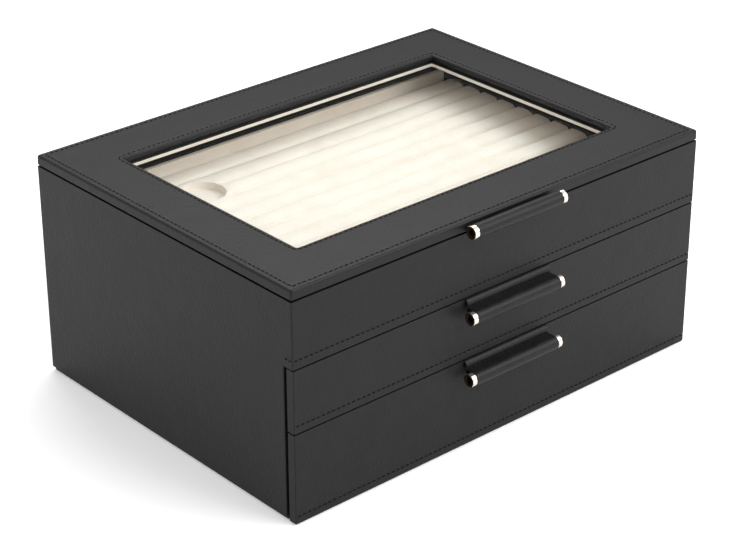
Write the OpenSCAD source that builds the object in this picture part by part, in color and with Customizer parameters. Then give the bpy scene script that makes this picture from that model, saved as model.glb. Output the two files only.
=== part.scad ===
// Ring display box in three tiers: a leather-covered case, a hinged lid with a
// glass window, a lift-out ring tray under the glass and two drawers below it.
// The front faces -Y, up is +Z and the origin is the middle of the underside.

/* [Case] */
// Width of the case across its front
case_w = 290; // [240:1:360]
// Depth of the case from its front face to its back face
case_d = 214; // [180:1:280]
// Thickness of a covered wall
wall_t = 7; // [6:0.1:12]
// Thickness of the leather covering
skin_t = 0.8; // [0.5:0.1:1.2]
// Thickness of the leather where it is turned over the rim and glued inside
turn_in_t = 0.5; // [0.3:0.1:0.8]
// Depth that the leather is turned down inside the rim
turn_in_depth = 22; // [20:1:26]
// Radius of the case's upright corners
corner_r = 1.2; // [1:0.1:4]
// Height of the fixed front of the top tier
fascia_h = 36.8; // [34:0.1:60]
// Thickness of the shelf boards
shelf_t = 3; // [2:0.1:5]

/* [Base] */
// Thickness of the felt on the underside
felt_t = 0.6; // [0.4:0.1:2]
// Thickness of the base board
base_t = 2; // [1.5:0.1:5]
// Distance from the case's face to the edge of the base board
base_inset = 1; // [0.5:0.1:4]
// Distance from the edge of the base board to the edge of the felt
felt_inset = 2.5; // [1:0.1:8]

/* [Lid] */
// Thickness of the covered lid
lid_t = 5.8; // [5.4:0.1:10]
// Gap between the closed lid and the rim
lid_gap = 0.8; // [0.2:0.1:1]
// Width of the lid's covered frame at the two ends
lid_end_rail = 32.5; // [20:0.5:50]
// Width of the lid's covered frame at the front and the back
lid_long_rail = 34.5; // [26:0.5:50]
// Radius of the window's corners
window_r = 1; // [1:0.5:8]
// Thickness of the glass
glass_t = 2; // [1.5:0.1:3]
// Width of the glass that the frame covers along each edge
glass_lap = 5; // [3:0.5:8]
// Thickness of the velvet-covered frame under the glass
lining_t = 2.5; // [1.5:0.1:4]

/* [Ring tray] */
// Height of the tray's shelf above the lower edge of the fixed front
shelf_rise = 9.9; // [0:0.1:12]
// Height of the tray's front and back walls
tray_h = 9.9; // [7:0.1:12]
// Thickness of the tray's padded walls
tray_wall = 3.3; // [2:0.1:6]
// Thickness of the tray's floor
tray_floor = 1.8; // [1.2:0.1:3]
// Width of the strip that stops the tray at the back of the case
stop_w = 7.9; // [4:0.1:10]
// Height of the strip that stops the tray
stop_h = 5; // [3:0.1:8]
// Width of the slots in front of the tray's pad and behind it
pad_slot = 3.7; // [0.3:0.1:6]
// Height of the crest of a ring roll above the floor it lies on
roll_h = 5; // [3.5:0.1:7]
// Depth of the groove between two ring rolls
groove_depth = 3.6; // [2:0.1:3.8]
// Nearest spacing of the ring rolls
roll_pitch = 14.6; // [12:0.1:20]
// Radius of the rounding at the ends of the rolls
roll_end_r = 1.5; // [1:0.1:3]
// Radius of the finger hole for lifting the tray's pad
finger_r = 13; // [8:0.5:15]
// Distance of the finger hole from the middle, towards the left
finger_left = 76; // [20:1:100]
// Distance of the finger hole from the middle, towards the back
finger_back = 52; // [20:1:65]

/* [Drawers] */
// Height of the front of the ring drawer
ring_front_h = 35.2; // [30:0.1:60]
// Height of the front of the deep drawer
deep_front_h = 51.2; // [42:0.1:90]
// Gap between the lowest front and the surface that the box stands on
floor_gap = 0.8; // [0.5:0.1:3]
// Gap between one front and the next
front_gap = 0.8; // [0.5:0.1:2]
// Thickness of a covered drawer front
front_t = 5; // [4:0.1:10]
// Gap between a drawer front and the edge of the case behind it
reveal_gap = 2; // [1:0.1:4]
// Distance from the case's side face to the end of a drawer front
front_inset = 0.3; // [0:0.1:1]
// Thickness of the drawer's walls
box_wall = 4; // [3:0.1:8]
// Thickness of the drawer's bottom
box_floor = 2.4; // [1.5:0.1:4]
// Thickness of the velvet lining
velvet_t = 1; // [0.6:0.1:2]
// Gap between a drawer and the wall beside it
side_clear = 0.5; // [0.3:0.1:1.5]
// Gap between a drawer and the board that it slides on
slide_clear = 0.3; // [0.2:0.1:0.8]
// Gap over a drawer
top_clear = 1.2; // [0.6:0.1:3]
// Thickness of the dividers
divider_t = 3; // [2:0.1:5]
// Height of the dividers
divider_h = 30; // [20:1:38]
// Number of compartments along the deep drawer
columns = 3; // [2:1:5]

/* [Pulls] */
// Radius of the collars at the ends of the metal tube
tube_r = 3.7; // [3:0.1:5]
// Radius of the tube between its collars, where the strap goes round it
core_r = 3; // [2.4:0.1:4]
// Wall of the tube between its collars
tube_wall = 1; // [0.5:0.1:1.5]
// Length of the metal tube
tube_l = 66; // [50:1:120]
// Length of bare metal at each end of the tube
tube_bare = 2.8; // [1:0.1:8]
// Thickness of the leather strap
strap_t = 0.8; // [0.6:0.1:1.4]
// Length of the strap's tail behind the front, or under the lid
strap_tail = 12; // [8:0.5:20]
// Distance from the front face to the middle of a drawer's tube
pull_out = 6.6; // [6:0.1:12]
// Distance from the top of a drawer front down to the middle of its tube
pull_drop = 8.2; // [7.8:0.1:14]
// Distance from the front face to the middle of the lid's tube
lid_pull_out = 6.2; // [5.9:0.1:12]
// Height of the lid's tube above the underside of the lid
lid_pull_rise = 2.3; // [1:0.1:3]

/* [Hinges] */
// Width of one hinge
hinge_w = 30; // [20:1:50]
// Distance between the middles of the two hinges
hinge_spacing = 190; // [100:1:200]
// Thickness of a hinge leaf
leaf_t = 0.8; // [0.6:0.1:0.8]
// Outer radius of a hinge knuckle
knuckle_r = 2; // [1.6:0.1:3]
// Gap between the knuckles and the case's back face
knuckle_gap = 0.4; // [0.3:0.1:1]
// Radius of the hinge pin
pin_r = 0.9; // [0.7:0.05:1.1]
// Radial clearance of the hinge pin
pin_clear = 0.05; // [0.02:0.01:0.1]
// Radius of a screw's shank
screw_r = 0.8; // [0.6:0.05:1]
// Radius of a screw's head
screw_head_r = 1.7; // [1.2:0.05:2]
// Length of a screw under the leaf
screw_l = 3.4; // [2:0.1:3.6]

/* [Colours] */
// Leather
leather_colour = "#3a393a";
// Velvet
velvet_colour = "#efe3cf";
// Nickel-plated metal
metal_colour = "#d9d4cb";
// Fibreboard in its black paper
board_colour = "#37322f";

/* [Hidden] */
$fn = 48;

// Overshoot of a cut past the face that it opens
cut = 1;
// Gap around a piece let into another
fit = 0.1;
// Gap between a board and what is dropped in beside it
drop_in = 0.3;
// Gap between a strap and the tube inside it, or the notch under it
wrap_gap = 0.05;
// Distance from the turned-in leather to the edge of the lid's lining
lining_clear = 1;
// Rise of the narrow flat at the bottom of the groove between two ring rolls
groove_flat_rise = 0.1;
// Distance of the strap's neck from the front face and from the strap's top
neck_back = 0.3;
neck_down = 0.1;
// Distances of a hinge leaf from the wall's inner face, and of a screw from
// the leaf's edge and from its end
leaf_inset = 1;
screw_from_edge = 2.4;
screw_from_end = 5;
// Thickness of a hinge pin's head and how far it stands out round the pin
pin_head_t = 0.8;
pin_head_lip = 0.5;

half_w = case_w / 2;
half_d = case_d / 2;
front_y = -half_d;
back_y = half_d;
room_x = half_w - wall_t;
room_y = half_d - wall_t;
board_x = half_w - skin_t;
board_y = half_d - skin_t;

base_top = felt_t + base_t;
deep_z0 = floor_gap;
deep_z1 = deep_z0 + deep_front_h;
ring_z0 = deep_z1 + front_gap;
ring_z1 = ring_z0 + ring_front_h;
fascia_z0 = ring_z1 + front_gap;
case_top = fascia_z0 + fascia_h;
board_top = case_top - skin_t;
tray_shelf_z0 = fascia_z0 + shelf_rise;
tray_shelf_top = tray_shelf_z0 + shelf_t;
drawer_shelf_z0 = deep_z1 + front_gap / 2 - shelf_t / 2;
drawer_shelf_top = drawer_shelf_z0 + shelf_t;

// The case's edge is set back behind the drawer fronts
front_back_y = front_y + front_t;
edge_y = front_back_y + reveal_gap;
edge_board_y = edge_y + skin_t;

// Levels in the lid
lid_z0 = case_top + lid_gap;
lid_top = lid_z0 + lid_t;
rail_z0 = lid_z0 + skin_t;
rail_top = lid_top - skin_t;
glass_top = rail_z0 + glass_t;
lining_z0 = rail_z0 - lining_t;
window_x = half_w - lid_end_rail;
window_y = half_d - lid_long_rail;
rail_x = window_x + skin_t;
rail_y = window_y + skin_t;
glass_x = window_x + glass_lap;
glass_y = window_y + glass_lap;
lining_x = room_x - turn_in_t - lining_clear;
lining_y = room_y - turn_in_t - lining_clear;

// The ring tray drops in between the turned-in leather and the stop strip
tray_x = room_x - turn_in_t - drop_in;
tray_front_y = turn_in_t + drop_in - room_y;
tray_back_y = -tray_front_y - stop_w;
tray_floor_top = tray_shelf_top + tray_floor;
tray_top = tray_shelf_top + tray_h;
pad_y0 = tray_front_y + tray_wall + pad_slot;
pad_y1 = tray_back_y - tray_wall - pad_slot;

// A drawer's box runs between the case's walls behind its front
box_x = room_x - side_clear;
box_front_y1 = front_back_y + box_wall;
box_back_y1 = room_y - side_clear;
box_back_y0 = box_back_y1 - box_wall;
box_room_x = box_x - box_wall;
deep_box_z0 = base_top + slide_clear;
deep_box_top = drawer_shelf_z0 - top_clear;
ring_box_z0 = drawer_shelf_top + slide_clear;
ring_box_top = fascia_z0 - top_clear;
front_x = half_w - front_inset;

// Pulls
wrap_r = core_r + wrap_gap;
strap_r = wrap_r + strap_t;
strap_w = tube_l - 2 * tube_bare;
notch_w = strap_w + 2 * fit;
notch_depth = strap_t + wrap_gap;
neck_r = strap_t;
collar_w = tube_bare - fit;

// Hinges
axis_y = back_y + knuckle_gap + knuckle_r;
axis_z = case_top + lid_gap / 2;
leaf_y0 = back_y - wall_t + leaf_inset;
leaf_y1 = back_y - fit;
knuckle_w = (hinge_w - 4 * fit) / 3;
screw_y = leaf_y0 + screw_from_edge;
screw_x = hinge_w / 2 - screw_from_end;

// Flat outlines

module rounded_rect(w, d, r) {
    square([w - 2 * r, d], center = true);
    square([w, d - 2 * r], center = true);
    for (sx = [-1, 1], sy = [-1, 1])
        translate([sx * (w / 2 - r), sy * (d / 2 - r)]) circle(r = r);
}

// A block between two corners
module block(low, high) {
    translate(low) cube(high - low);
}

// A block with round upright corners, centred on the Z axis
module round_block(half_x, half_y, r, z0, z1) {
    translate([0, 0, z0]) linear_extrude(z1 - z0)
        rounded_rect(2 * half_x, 2 * half_y, r);
}

// Draws a piece for the left and for the right
module both_sides() {
    children();
    mirror([1, 0, 0]) children();
}

// Draws a piece at each of the two hinges
module at_hinges() {
    for (side = [-1, 1])
        translate([side * hinge_spacing / 2, 0, 0]) children();
}

// Base

// A sheet under the case, which ends behind the front of the deep drawer
module base_sheet(inset, front_edge, z0, z1) {
    difference() {
        round_block(half_w - inset, half_d - inset, corner_r, z0, z1);
        block([-half_w, front_y, z0 - cut], [half_w, front_edge, z1 + cut]);
    }
}

module base_felt() {
    color("#1d1c1d") base_sheet(base_inset + felt_inset, edge_y + felt_inset, 0, felt_t);
}

module base_board() {
    color("#262425") base_sheet(base_inset, edge_y, felt_t, base_top);
}

// Case boards

module side_board_shape() {
    block([room_x, edge_board_y, base_top], [board_x, room_y, board_top]);
    block([room_x, -room_y, fascia_z0 + skin_t], [board_x, room_y, board_top]);
}

module left_board() {
    color(board_colour) mirror([1, 0, 0]) side_board_shape();
}

module right_board() {
    color(board_colour) side_board_shape();
}

module back_board_shape() {
    block([-board_x, room_y, base_top], [board_x, board_y, board_top]);
}

module back_board() {
    color(board_colour) difference() {
        back_board_shape();
        case_screw_holes(board_top - screw_l - fit);
    }
}

module fascia_board_shape() {
    block([-board_x, -board_y, fascia_z0 + skin_t], [board_x, -room_y, board_top]);
}

module fascia_board() {
    color(board_colour) fascia_board_shape();
}

// The leather goes round the outside, over the rim and a little way down inside
module case_leather() {
    strip_top = fascia_z0 + skin_t;
    color(leather_colour) difference() {
        union() {
            difference() {
                round_block(half_w, half_d, corner_r, base_top, case_top);
                block([-board_x, -board_y, base_top - cut], [board_x, board_y, board_top]);
                block([-half_w - cut, front_y - cut, base_top - cut],
                      [half_w + cut, edge_y, fascia_z0]);
            }
            block([-room_x, -room_y, case_top - turn_in_depth], [room_x, room_y, board_top]);
            block([-board_x, -board_y, fascia_z0], [board_x, -room_y, strip_top]);
            both_sides() {
                block([room_x, -board_y, fascia_z0], [board_x, edge_board_y, strip_top]);
                block([room_x, edge_y, base_top], [board_x, edge_board_y, strip_top]);
            }
        }
        block([turn_in_t - room_x, turn_in_t - room_y, fascia_z0 + cut],
              [room_x - turn_in_t, room_y - turn_in_t, case_top + cut]);
        hinge_mortises(board_top, case_top + cut);
    }
}

module tray_shelf() {
    color(board_colour) block([-room_x, -room_y, tray_shelf_z0], [room_x, room_y, tray_shelf_top]);
}

module drawer_shelf() {
    color(board_colour)
        block([-room_x, edge_board_y, drawer_shelf_z0], [room_x, room_y, drawer_shelf_top]);
}

module tray_stop() {
    color(board_colour) block([-tray_x, tray_back_y + drop_in, tray_shelf_top],
                              [tray_x, drop_in - tray_front_y - fit, tray_shelf_top + stop_h]);
}

// Ring tray and ring pads

// A floor with a wall at the front and one at the back
module ring_tray() {
    color(velvet_colour) {
        block([-tray_x, tray_front_y, tray_shelf_top], [tray_x, tray_back_y, tray_floor_top]);
        block([-tray_x, tray_front_y, tray_shelf_top], [tray_x, tray_front_y + tray_wall, tray_top]);
        block([-tray_x, tray_back_y - tray_wall, tray_shelf_top], [tray_x, tray_back_y, tray_top]);
    }
}

// Section of a pad of ring rolls, with Y to the right and the crests up
module roll_section(depth) {
    count = floor(depth / roll_pitch);
    pitch = depth / count;
    roll_r = (pow(pitch / 2, 2) + pow(groove_depth, 2)) / (2 * groove_depth);
    intersection() {
        translate([-depth / 2, 0]) square([depth, roll_h]);
        union() {
            translate([-depth / 2, 0])
                square([depth, roll_h - groove_depth + groove_flat_rise]);
            for (i = [0 : count - 1])
                translate([(i + 0.5) * pitch - depth / 2, roll_h - roll_r])
                    circle(r = roll_r, $fn = 96);
        }
    }
}

// End view of a roll: its upper corners are drawn in
module roll_side_outline(length) {
    translate([-length / 2, 0]) square([length, roll_h - roll_end_r]);
    translate([roll_end_r - length / 2, 0]) square([length - 2 * roll_end_r, roll_h + cut]);
    for (side = [-1, 1])
        translate([side * (length / 2 - roll_end_r), roll_h - roll_end_r])
            circle(r = roll_end_r);
}

module ring_pad(length, depth) {
    intersection() {
        rotate([90, 0, 90]) translate([0, 0, -length / 2])
            linear_extrude(length) roll_section(depth);
        rotate([90, 0, 0]) translate([0, 0, -depth / 2 - cut])
            linear_extrude(depth + 2 * cut) roll_side_outline(length);
    }
}

module tray_ring_pad() {
    color(velvet_colour) difference() {
        translate([0, (pad_y0 + pad_y1) / 2, tray_floor_top])
            ring_pad(2 * (tray_x - drop_in), pad_y1 - pad_y0);
        translate([-finger_left, finger_back, tray_floor_top - cut])
            cylinder(r = finger_r, h = roll_h + 2 * cut);
    }
}

// Lid

// Room for the glass, cut out of the underside of the rails
module glass_pocket() {
    block([-glass_x - drop_in, -glass_y - drop_in, rail_z0 - cut],
          [glass_x + drop_in, glass_y + drop_in, glass_top]);
}

// Room for the strap's tail under the front rail
module lid_strap_notch() {
    block([-notch_w / 2, front_y - cut, lid_z0 - cut],
          [notch_w / 2, front_y + strap_tail + fit, lid_z0 + notch_depth + fit]);
}

module long_rail_shape() {
    block([-board_x, rail_y, rail_z0], [board_x, board_y, rail_top]);
}

module end_rail_shape() {
    block([rail_x, -rail_y, rail_z0], [board_x, rail_y, rail_top]);
}

module lid_front_rail() {
    color(board_colour) difference() {
        mirror([0, 1, 0]) long_rail_shape();
        glass_pocket();
        lid_strap_notch();
    }
}

module lid_back_rail() {
    color(board_colour) difference() {
        long_rail_shape();
        glass_pocket();
        lid_screw_holes(rail_z0 - cut, rail_z0 + screw_l + fit);
    }
}

module lid_left_rail() {
    color(board_colour) mirror([1, 0, 0]) difference() {
        end_rail_shape();
        glass_pocket();
    }
}

module lid_right_rail() {
    color(board_colour) difference() {
        end_rail_shape();
        glass_pocket();
    }
}

module lid_leather() {
    color(leather_colour) difference() {
        round_block(half_w, half_d, corner_r, lid_z0, lid_top);
        round_block(window_x, window_y, window_r, lid_z0 - cut, lid_top + cut);
        long_rail_shape();
        mirror([0, 1, 0]) long_rail_shape();
        both_sides() end_rail_shape();
        glass_pocket();
        block([-lining_x - drop_in, -lining_y - drop_in, lid_z0 - cut],
              [lining_x + drop_in, lining_y + drop_in, rail_z0]);
        lid_strap_notch();
        hinge_mortises(lid_z0 - cut, rail_z0);
    }
}

module glass_pane() {
    color("#dfe8ea", 0.3)
        block([-glass_x, -glass_y, rail_z0], [glass_x, glass_y, glass_top]);
}

module lid_lining() {
    color(velvet_colour) difference() {
        round_block(lining_x, lining_y, corner_r, lining_z0, rail_z0);
        round_block(window_x, window_y, window_r, lining_z0 - cut, rail_z0 + cut);
        block([-notch_w / 2, front_y, lid_z0 - strap_t / 2],
              [notch_w / 2, front_y + strap_tail + fit, rail_z0 + cut]);
    }
}

// Hinges

module hinge_mortises(z0, z1) {
    at_hinges() block([-hinge_w / 2 - fit, leaf_y0 - fit, z0], [hinge_w / 2 + fit, back_y + cut, z1]);
}

// A leaf with its own knuckles, at_z being the leaf's lower face
module hinge_leaf(at_z, knuckle_places, head_up) {
    difference() {
        union() {
            block([-hinge_w / 2, leaf_y0, at_z], [hinge_w / 2, leaf_y1, at_z + leaf_t]);
            for (place = knuckle_places) translate([place * (knuckle_w + 2 * fit), 0, 0]) {
                block([-knuckle_w / 2, leaf_y1 - fit, at_z], [knuckle_w / 2, axis_y, at_z + leaf_t]);
                translate([-knuckle_w / 2, axis_y, axis_z]) rotate([0, 90, 0])
                    cylinder(r = knuckle_r, h = knuckle_w);
            }
        }
        translate([-hinge_w, axis_y, axis_z]) rotate([0, 90, 0])
            cylinder(r = pin_r + pin_clear, h = 2 * hinge_w);
        for (side = [-1, 1]) translate([side * screw_x, screw_y, at_z]) {
            translate([0, 0, -cut]) cylinder(r = screw_r + pin_clear, h = leaf_t + 2 * cut);
            if (head_up)
                cylinder(r1 = screw_r + pin_clear, r2 = screw_head_r + pin_clear, h = leaf_t);
            else
                cylinder(r1 = screw_head_r + pin_clear, r2 = screw_r + pin_clear, h = leaf_t);
        }
    }
}

module case_hinge_leaves() {
    color(metal_colour) at_hinges() hinge_leaf(case_top - leaf_t, [-1, 1], true);
}

module lid_hinge_leaves() {
    color(metal_colour) at_hinges() hinge_leaf(lid_z0, [0], false);
}

module hinge_pins() {
    color(metal_colour) at_hinges() translate([0, axis_y, axis_z]) rotate([0, 90, 0]) {
        translate([0, 0, -hinge_w / 2]) cylinder(r = pin_r, h = hinge_w);
        for (z = [-hinge_w / 2 - pin_head_t, hinge_w / 2])
            translate([0, 0, z]) cylinder(r = pin_r + pin_head_lip, h = pin_head_t);
    }
}

module hinge_screw() {
    cylinder(r1 = screw_head_r, r2 = screw_r, h = leaf_t);
    translate([0, 0, leaf_t]) cylinder(r = screw_r, h = screw_l);
}

module case_hinge_screws() {
    color(metal_colour) at_hinges() for (side = [-1, 1])
        translate([side * screw_x, screw_y, case_top]) mirror([0, 0, 1]) hinge_screw();
}

module lid_hinge_screws() {
    color(metal_colour) at_hinges() for (side = [-1, 1])
        translate([side * screw_x, screw_y, lid_z0]) hinge_screw();
}

module case_screw_holes(z0) {
    at_hinges() for (side = [-1, 1]) translate([side * screw_x, screw_y, z0])
        cylinder(r = screw_r + pin_clear, h = board_top + cut - z0);
}

module lid_screw_holes(z0, z1) {
    at_hinges() for (side = [-1, 1]) translate([side * screw_x, screw_y, z0])
        cylinder(r = screw_r + pin_clear, h = z1 - z0);
}

// Pulls: the strap's section has Y to the right and Z up

module along_x(length) {
    rotate([90, 0, 90]) translate([0, 0, -length / 2]) linear_extrude(length) children();
}

module flat_strip(y0, z0, y1, z1) {
    translate([y0, z0]) square([y1 - y0, z1 - z0]);
}

// The loop that is sewn round the tube, drawn to a neck
module strap_loop(tube_y, tube_z, neck_y, neck_z) {
    hull() {
        translate([tube_y, tube_z]) circle(r = strap_r, $fn = 32);
        translate([neck_y, neck_z]) circle(r = neck_r, $fn = 32);
    }
}

module tube_bore(tube_y, tube_z) {
    translate([-strap_w, tube_y, tube_z]) rotate([0, 90, 0]) cylinder(r = wrap_r, h = 2 * strap_w);
}

module drawer_pull_strap(top_z) {
    tube_y = front_y - pull_out;
    tube_z = top_z - pull_drop;
    neck_y = front_y - neck_r - neck_back;
    neck_z = top_z - neck_r - neck_down;
    color(leather_colour) difference() {
        along_x(strap_w) {
            flat_strip(front_back_y, top_z - strap_tail, front_back_y + strap_t, top_z);
            flat_strip(neck_y, top_z - strap_t, front_back_y + strap_t, top_z);
            strap_loop(tube_y, tube_z, neck_y, neck_z);
        }
        tube_bore(tube_y, tube_z);
    }
}

module lid_pull_strap() {
    tube_y = front_y - lid_pull_out;
    tube_z = lid_z0 + lid_pull_rise;
    strap_z0 = lid_z0 + fit;
    color(leather_colour) difference() {
        along_x(strap_w) {
            flat_strip(front_y - neck_r, strap_z0, front_y + strap_tail, strap_z0 + strap_t);
            strap_loop(tube_y, tube_z, front_y - neck_r, strap_z0 + neck_r);
        }
        tube_bore(tube_y, tube_z);
    }
}

module pull_tube(tube_y, tube_z) {
    color(metal_colour) translate([-tube_l / 2, tube_y, tube_z]) rotate([0, 90, 0])
        difference() {
            union() {
                cylinder(r = core_r, h = tube_l);
                for (z = [0, tube_l - collar_w]) translate([0, 0, z]) cylinder(r = tube_r, h = collar_w);
            }
            translate([0, 0, -cut]) cylinder(r = core_r - tube_wall, h = tube_l + 2 * cut);
        }
}

module lid_pull_tube() {
    pull_tube(front_y - lid_pull_out, lid_z0 + lid_pull_rise);
}

// Drawers, each from the same pieces between its own levels

module front_strap_notch(top_z) {
    block([-notch_w / 2, front_y - cut, top_z - notch_depth],
          [notch_w / 2, front_back_y + cut, top_z + cut]);
}

module front_board_shape(z0, z1) {
    block([skin_t - front_x, front_y + skin_t, z0 + skin_t],
          [front_x - skin_t, front_back_y, z1 - skin_t]);
}

module front_board(z0, z1) {
    color(board_colour) difference() {
        front_board_shape(z0, z1);
        front_strap_notch(z1);
    }
}

module front_leather(z0, z1) {
    color(leather_colour) difference() {
        block([-front_x, front_y, z0], [front_x, front_back_y, z1]);
        front_board_shape(z0, z1);
        front_strap_notch(z1);
    }
}

module box_front(z0, z1, front_top) {
    color(board_colour) difference() {
        block([-box_x, front_back_y, z0], [box_x, box_front_y1, z1]);
        block([-notch_w / 2, front_back_y - cut, front_top - strap_tail - fit],
              [notch_w / 2, front_back_y + notch_depth, z1 + cut]);
    }
}

module box_sides(z0, z1) {
    color(board_colour) both_sides()
        block([box_room_x, box_front_y1, z0], [box_x, box_back_y0, z1]);
}

module box_back(z0, z1) {
    color(board_colour) block([-box_x, box_back_y0, z0], [box_x, box_back_y1, z1]);
}

module box_bottom(z0) {
    color(board_colour)
        block([-box_room_x, box_front_y1, z0], [box_room_x, box_back_y0, z0 + box_floor]);
}

module box_lining(z0, z1) {
    floor_z = z0 + box_floor;
    color(velvet_colour) difference() {
        block([-box_room_x, box_front_y1, floor_z], [box_room_x, box_back_y0, z1]);
        block([velvet_t - box_room_x, box_front_y1 + velvet_t, floor_z + velvet_t],
              [box_room_x - velvet_t, box_back_y0 - velvet_t, z1 + cut]);
    }
}

// Middle and half lengths of a drawer's lined room
lined_y = (box_front_y1 + box_back_y0) / 2;
lined_half_x = box_room_x - velvet_t;
lined_half_y = (box_back_y0 - box_front_y1) / 2 - velvet_t;

module ring_drawer_front_board() { front_board(ring_z0, ring_z1); }
module ring_drawer_front_leather() { front_leather(ring_z0, ring_z1); }
module ring_drawer_box_front() { box_front(ring_box_z0, ring_box_top, ring_z1); }
module ring_drawer_sides() { box_sides(ring_box_z0, ring_box_top); }
module ring_drawer_back() { box_back(ring_box_z0, ring_box_top); }
module ring_drawer_bottom() { box_bottom(ring_box_z0); }
module ring_drawer_lining() { box_lining(ring_box_z0, ring_box_top); }

module ring_drawer_pad() {
    color(velvet_colour) translate([0, lined_y, ring_box_z0 + box_floor + velvet_t])
        ring_pad(2 * (lined_half_x - drop_in), 2 * (lined_half_y - drop_in));
}

module ring_drawer_pull_strap() { drawer_pull_strap(ring_z1); }
module ring_drawer_pull_tube() { pull_tube(front_y - pull_out, ring_z1 - pull_drop); }

module deep_drawer_front_board() { front_board(deep_z0, deep_z1); }
module deep_drawer_front_leather() { front_leather(deep_z0, deep_z1); }
module deep_drawer_box_front() { box_front(deep_box_z0, deep_box_top, deep_z1); }
module deep_drawer_sides() { box_sides(deep_box_z0, deep_box_top); }
module deep_drawer_back() { box_back(deep_box_z0, deep_box_top); }
module deep_drawer_bottom() { box_bottom(deep_box_z0); }
module deep_drawer_lining() { box_lining(deep_box_z0, deep_box_top); }

// The dividers are halved into each other
divider_z0 = deep_box_z0 + box_floor + velvet_t;
lap_z = divider_z0 + divider_h / 2;
column_w = (2 * lined_half_x - (columns - 1) * divider_t) / columns;
crossing_x = [for (i = [1 : columns - 1])
    i * (column_w + divider_t) - divider_t / 2 - lined_half_x];

module deep_drawer_long_divider() {
    color(velvet_colour) difference() {
        block([fit - lined_half_x, lined_y - divider_t / 2, divider_z0],
              [lined_half_x - fit, lined_y + divider_t / 2, divider_z0 + divider_h]);
        for (x = crossing_x)
            block([x - divider_t / 2 - fit, lined_y - divider_t, lap_z],
                  [x + divider_t / 2 + fit, lined_y + divider_t, divider_z0 + divider_h + cut]);
    }
}

module deep_drawer_cross_dividers() {
    color(velvet_colour) for (x = crossing_x) difference() {
        block([x - divider_t / 2, lined_y - lined_half_y + fit, divider_z0],
              [x + divider_t / 2, lined_y + lined_half_y - fit, divider_z0 + divider_h]);
        block([x - divider_t, lined_y - divider_t / 2 - fit, divider_z0 - cut],
              [x + divider_t, lined_y + divider_t / 2 + fit, lap_z]);
    }
}

module deep_drawer_pull_strap() { drawer_pull_strap(deep_z1); }
module deep_drawer_pull_tube() { pull_tube(front_y - pull_out, deep_z1 - pull_drop); }

base_felt();
base_board();
left_board();
right_board();
back_board();
fascia_board();
case_leather();
tray_shelf();
drawer_shelf();
tray_stop();
ring_tray();
tray_ring_pad();
case_hinge_leaves();
hinge_pins();
case_hinge_screws();
lid_front_rail();
lid_back_rail();
lid_left_rail();
lid_right_rail();
lid_leather();
glass_pane();
lid_lining();
lid_hinge_leaves();
lid_hinge_screws();
lid_pull_strap();
lid_pull_tube();
ring_drawer_front_board();
ring_drawer_front_leather();
ring_drawer_box_front();
ring_drawer_sides();
ring_drawer_back();
ring_drawer_bottom();
ring_drawer_lining();
ring_drawer_pad();
ring_drawer_pull_strap();
ring_drawer_pull_tube();
deep_drawer_front_board();
deep_drawer_front_leather();
deep_drawer_box_front();
deep_drawer_sides();
deep_drawer_back();
deep_drawer_bottom();
deep_drawer_lining();
deep_drawer_long_divider();
deep_drawer_cross_dividers();
deep_drawer_pull_strap();
deep_drawer_pull_tube();
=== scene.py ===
import math

import bmesh
import bpy
import numpy as np
from mathutils import Matrix, Vector


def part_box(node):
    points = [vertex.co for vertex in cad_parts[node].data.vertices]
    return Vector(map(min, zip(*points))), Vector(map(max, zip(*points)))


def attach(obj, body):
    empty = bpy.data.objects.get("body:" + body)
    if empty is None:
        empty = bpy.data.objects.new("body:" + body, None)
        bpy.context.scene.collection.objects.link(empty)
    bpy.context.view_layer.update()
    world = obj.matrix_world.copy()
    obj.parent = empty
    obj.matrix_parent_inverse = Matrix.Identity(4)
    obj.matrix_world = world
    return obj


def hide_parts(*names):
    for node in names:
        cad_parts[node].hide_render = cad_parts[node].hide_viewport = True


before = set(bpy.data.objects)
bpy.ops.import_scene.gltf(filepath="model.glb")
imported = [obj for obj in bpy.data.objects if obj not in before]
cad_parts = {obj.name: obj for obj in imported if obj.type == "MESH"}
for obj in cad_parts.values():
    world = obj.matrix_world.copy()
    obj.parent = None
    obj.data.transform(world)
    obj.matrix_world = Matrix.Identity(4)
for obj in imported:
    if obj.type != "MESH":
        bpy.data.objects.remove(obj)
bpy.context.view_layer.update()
scene = bpy.context.scene
MM = 0.001

# Sizes that the frame gives
CASE_LO, CASE_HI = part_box("case_leather")
LID_LO, LID_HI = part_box("lid_leather")
GLASS_LO, GLASS_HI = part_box("glass_pane")
LINING_LO, LINING_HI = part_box("lid_lining")
TRAY_LO, TRAY_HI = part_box("ring_tray")
PAD_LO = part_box("tray_ring_pad")[0]
SIDE_LO, SIDE_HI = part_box("right_board")
BACK_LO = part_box("back_board")[0]
FASCIA_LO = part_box("fascia_board")[0]
SKIN = CASE_HI.x - SIDE_HI.x

# Sizes that the photograph gives, beside the frame's own
GLASS_LAP = 5 * MM
WINDOW_X = GLASS_HI.x - GLASS_LAP
WINDOW_Y = GLASS_HI.y - GLASS_LAP
WINDOW_RADIUS = 1 * MM
CORNER_RADIUS = 1.2 * MM
TURN_IN = 0.5 * MM
TURN_IN_DEPTH = 22 * MM
LID_EDGE_RADIUS = 1.5 * MM
BEAD_RADIUS = 1.6 * MM
STITCH_PITCH = 3.3 * MM
STITCH_LENGTH = 2.3 * MM
THREAD_RADIUS = 0.32 * MM
STITCH_FROM_EDGE = 3.6 * MM
STITCH_FROM_WINDOW = 2.7 * MM
STITCH_ON_FRONT = 4.0 * MM
SEAM_DEPTH = 0.22 * MM
SEAM_HALF_WIDTH = 0.8 * MM
HINGE_WIDTH = 30 * MM
STRAP_T = 0.8 * MM
TRAY_WALL = 3.3 * MM
STRAP_WIDTH = 2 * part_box("lid_pull_strap")[1].x
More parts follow.
